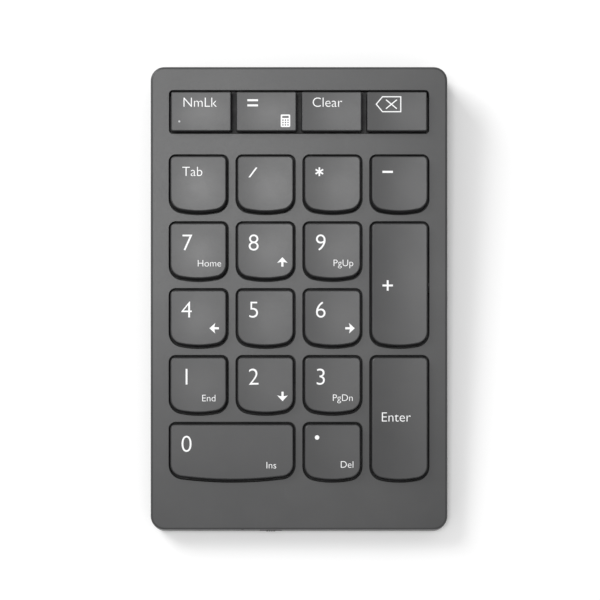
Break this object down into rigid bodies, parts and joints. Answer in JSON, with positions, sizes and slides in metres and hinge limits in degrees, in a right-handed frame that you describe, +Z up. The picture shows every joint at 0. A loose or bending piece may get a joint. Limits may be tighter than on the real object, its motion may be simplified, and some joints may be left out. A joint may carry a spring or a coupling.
{
  "type": "numeric keypad",
  "caption": "Slim wireless desk keypad with low scissor keys on a gently sloped deck, a slide switch in front and a charging socket behind.",
  "frame": {"origin": "on the desk, under the middle of the keypad's box", "axes": "+X to the user's right, +Y away from the user, +Z up"},
  "size_m": [0.0846, 0.1326, 0.0164],
  "materials": {
    "cover_plastic": "fine matte moulded plastic, dark grey",
    "base_plastic": "lightly textured moulded plastic, darker grey",
    "key_plastic": "smooth matte keycap plastic, dark grey",
    "lever_plastic": "black acetal",
    "plate_steel": "stamped and bent sheet steel, coated black",
    "film": "laminated polyester film, printed black on top",
    "dome_rubber": "moulded silicone rubber",
    "board_laminate": "glass-fibre laminate under green resist",
    "chip_plastic": "moulded black component bodies",
    "socket_steel": "bright drawn steel",
    "switch_plastic": "black moulded plastic",
    "lamp_clear": "smoked clear plastic",
    "cell_pouch": "laminated aluminium pouch",
    "lead_sleeve": "soft black sleeve",
    "foot_rubber": "dense black rubber",
    "screw_steel": "blackened steel",
    "wire_steel": "spring-steel wire"
  },
  "bodies": {
    "base": {"top_cover": "cover_plastic", "bottom_cover": "base_plastic", "support_plate": "plate_steel", "membrane_circuit": "film", "rubber_domes": "dome_rubber", "main_board": "board_laminate", "board_chips": "chip_plastic", "usb_c_receptacle": "socket_steel", "slide_switch": "switch_plastic", "status_light": "lamp_clear", "battery_cell": "cell_pouch", "battery_lead": "lead_sleeve", "rubber_feet": "foot_rubber", "case_screws": "screw_steel", "levers_num_lock": "lever_plastic", "levers_equals": "lever_plastic", "levers_clear": "lever_plastic", "levers_backspace": "lever_plastic", "levers_tab": "lever_plastic", "levers_divide": "lever_plastic", "levers_multiply": "lever_plastic", "levers_minus": "lever_plastic", "levers_7": "lever_plastic", "levers_8": "lever_plastic", "levers_9": "lever_plastic", "levers_plus": "lever_plastic", "levers_4": "lever_plastic", "levers_5": "lever_plastic", "levers_6": "lever_plastic", "levers_1": "lever_plastic", "levers_2": "lever_plastic", "levers_3": "lever_plastic", "levers_enter": "lever_plastic", "levers_0": "lever_plastic", "levers_decimal": "lever_plastic"},
    "knob": {"switch_knob": "switch_plastic"},
    "key_num_lock": {"key_num_lock": "key_plastic"},
    "key_equals": {"key_equals": "key_plastic"},
    "key_clear": {"key_clear": "key_plastic"},
    "key_backspace": {"key_backspace": "key_plastic"},
    "key_tab": {"key_tab": "key_plastic"},
    "key_divide": {"key_divide": "key_plastic"},
    "key_multiply": {"key_multiply": "key_plastic"},
    "key_minus": {"key_minus": "key_plastic"},
    "key_7": {"key_7": "key_plastic"},
    "key_8": {"key_8": "key_plastic"},
    "key_9": {"key_9": "key_plastic"},
    "key_plus": {"key_plus": "key_plastic"},
    "stabilizer_bar_plus": {"stabilizer_bar_plus": "wire_steel"},
    "key_4": {"key_4": "key_plastic"},
    "key_5": {"key_5": "key_plastic"},
    "key_6": {"key_6": "key_plastic"},
    "key_1": {"key_1": "key_plastic"},
    "key_2": {"key_2": "key_plastic"},
    "key_3": {"key_3": "key_plastic"},
    "key_enter": {"key_enter": "key_plastic"},
    "stabilizer_bar_enter": {"stabilizer_bar_enter": "wire_steel"},
    "key_0": {"key_0": "key_plastic"},
    "stabilizer_bar_0": {"stabilizer_bar_0": "wire_steel"},
    "key_decimal": {"key_decimal": "key_plastic"}
  },
  "joints": [
    {"name": "key_num_lock_press", "type": "slide", "parent": "base", "child": "key_num_lock", "axis": [0, 0.061, -0.9981], "range_m": [0, 0.0018], "stiffness_N_per_m": 220, "springref_m": -0.0012, "deforming": ["levers_num_lock", "rubber_domes"]},
    {"name": "key_equals_press", "type": "slide", "parent": "base", "child": "key_equals", "axis": [0, 0.061, -0.9981], "range_m": [0, 0.0018], "stiffness_N_per_m": 220, "springref_m": -0.0012, "deforming": ["levers_equals", "rubber_domes"]},
    {"name": "key_clear_press", "type": "slide", "parent": "base", "child": "key_clear", "axis": [0, 0.061, -0.9981], "range_m": [0, 0.0018], "stiffness_N_per_m": 220, "springref_m": -0.0012, "deforming": ["levers_clear", "rubber_domes"]},
    {"name": "key_backspace_press", "type": "slide", "parent": "base", "child": "key_backspace", "axis": [0, 0.061, -0.9981], "range_m": [0, 0.0018], "stiffness_N_per_m": 220, "springref_m": -0.0012, "deforming": ["levers_backspace", "rubber_domes"]},
    {"name": "key_tab_press", "type": "slide", "parent": "base", "child": "key_tab", "axis": [0, 0.061, -0.9981], "range_m": [0, 0.0018], "stiffness_N_per_m": 220, "springref_m": -0.0012, "deforming": ["levers_tab", "rubber_domes"]},
    {"name": "key_divide_press", "type": "slide", "parent": "base", "child": "key_divide", "axis": [0, 0.061, -0.9981], "range_m": [0, 0.0018], "stiffness_N_per_m": 220, "springref_m": -0.0012, "deforming": ["levers_divide", "rubber_domes"]},
    {"name": "key_multiply_press", "type": "slide", "parent": "base", "child": "key_multiply", "axis": [0, 0.061, -0.9981], "range_m": [0, 0.0018], "stiffness_N_per_m": 220, "springref_m": -0.0012, "deforming": ["levers_multiply", "rubber_domes"]},
    {"name": "key_minus_press", "type": "slide", "parent": "base", "child": "key_minus", "axis": [0, 0.061, -0.9981], "range_m": [0, 0.0018], "stiffness_N_per_m": 220, "springref_m": -0.0012, "deforming": ["levers_minus", "rubber_domes"]},
    {"name": "key_7_press", "type": "slide", "parent": "base", "child": "key_7", "axis": [0, 0.061, -0.9981], "range_m": [0, 0.0018], "stiffness_N_per_m": 220, "springref_m": -0.0012, "deforming": ["levers_7", "rubber_domes"]},
    {"name": "key_8_press", "type": "slide", "parent": "base", "child": "key_8", "axis": [0, 0.061, -0.9981], "range_m": [0, 0.0018], "stiffness_N_per_m": 220, "springref_m": -0.0012, "deforming": ["levers_8", "rubber_domes"]},
    {"name": "key_9_press", "type": "slide", "parent": "base", "child": "key_9", "axis": [0, 0.061, -0.9981], "range_m": [0, 0.0018], "stiffness_N_per_m": 220, "springref_m": -0.0012, "deforming": ["levers_9", "rubber_domes"]},
    {"name": "key_plus_press", "type": "slide", "parent": "base", "child": "key_plus", "axis": [0, 0.061, -0.9981], "range_m": [0, 0.0018], "stiffness_N_per_m": 260, "springref_m": -0.0012, "deforming": ["levers_plus", "rubber_domes"]},
    {"name": "stabilizer_bar_plus_swing", "type": "hinge", "parent": "key_plus", "child": "stabilizer_bar_plus", "pos_m": [0.03549, 0.00387, 0.0116], "axis": [0, 0.9981, 0.061], "range_deg": [0, 13.5]},
    {"name": "key_4_press", "type": "slide", "parent": "base", "child": "key_4", "axis": [0, 0.061, -0.9981], "range_m": [0, 0.0018], "stiffness_N_per_m": 220, "springref_m": -0.0012, "deforming": ["levers_4", "rubber_domes"]},
    {"name": "key_5_press", "type": "slide", "parent": "base", "child": "key_5", "axis": [0, 0.061, -0.9981], "range_m": [0, 0.0018], "stiffness_N_per_m": 220, "springref_m": -0.0012, "deforming": ["levers_5", "rubber_domes"]},
    {"name": "key_6_press", "type": "slide", "parent": "base", "child": "key_6", "axis": [0, 0.061, -0.9981], "range_m": [0, 0.0018], "stiffness_N_per_m": 220, "springref_m": -0.0012, "deforming": ["levers_6", "rubber_domes"]},
    {"name": "key_1_press", "type": "slide", "parent": "base", "child": "key_1", "axis": [0, 0.061, -0.9981], "range_m": [0, 0.0018], "stiffness_N_per_m": 220, "springref_m": -0.0012, "deforming": ["levers_1", "rubber_domes"]},
    {"name": "key_2_press", "type": "slide", "parent": "base", "child": "key_2", "axis": [0, 0.061, -0.9981], "range_m": [0, 0.0018], "stiffness_N_per_m": 220, "springref_m": -0.0012, "deforming": ["levers_2", "rubber_domes"]},
    {"name": "key_3_press", "type": "slide", "parent": "base", "child": "key_3", "axis": [0, 0.061, -0.9981], "range_m": [0, 0.0018], "stiffness_N_per_m": 220, "springref_m": -0.0012, "deforming": ["levers_3", "rubber_domes"]},
    {"name": "key_enter_press", "type": "slide", "parent": "base", "child": "key_enter", "axis": [0, 0.061, -0.9981], "range_m": [0, 0.0018], "stiffness_N_per_m": 260, "springref_m": -0.0012, "deforming": ["levers_enter", "rubber_domes"]},
    {"name": "stabilizer_bar_enter_swing", "type": "hinge", "parent": "key_enter", "child": "stabilizer_bar_enter", "pos_m": [0.03549, -0.03416, 0.00928], "axis": [0, 0.9981, 0.061], "range_deg": [0, 13.5]},
    {"name": "key_0_press", "type": "slide", "parent": "base", "child": "key_0", "axis": [0, 0.061, -0.9981], "range_m": [0, 0.0018], "stiffness_N_per_m": 260, "springref_m": -0.0012, "deforming": ["levers_0", "rubber_domes"]},
    {"name": "stabilizer_bar_0_swing", "type": "hinge", "parent": "key_0", "child": "stabilizer_bar_0", "pos_m": [-0.01905, -0.03676, 0.00912], "axis": [1, 0, 0], "range_deg": [-13.5, 0]},
    {"name": "key_decimal_press", "type": "slide", "parent": "base", "child": "key_decimal", "axis": [0, 0.061, -0.9981], "range_m": [0, 0.0018], "stiffness_N_per_m": 220, "springref_m": -0.0012, "deforming": ["levers_decimal", "rubber_domes"]},
    {"name": "switch_slide", "type": "slide", "parent": "base", "child": "knob", "axis": [1, 0, 0], "range_m": [-0.00125, 0.00125]}
  ],
  "couplings": [
    {"joint": "stabilizer_bar_plus_swing", "follows": "key_plus_press", "rad_per_m": 130.39},
    {"joint": "stabilizer_bar_enter_swing", "follows": "key_enter_press", "rad_per_m": 130.39},
    {"joint": "stabilizer_bar_0_swing", "follows": "key_0_press", "rad_per_m": -130.39}
  ]
}
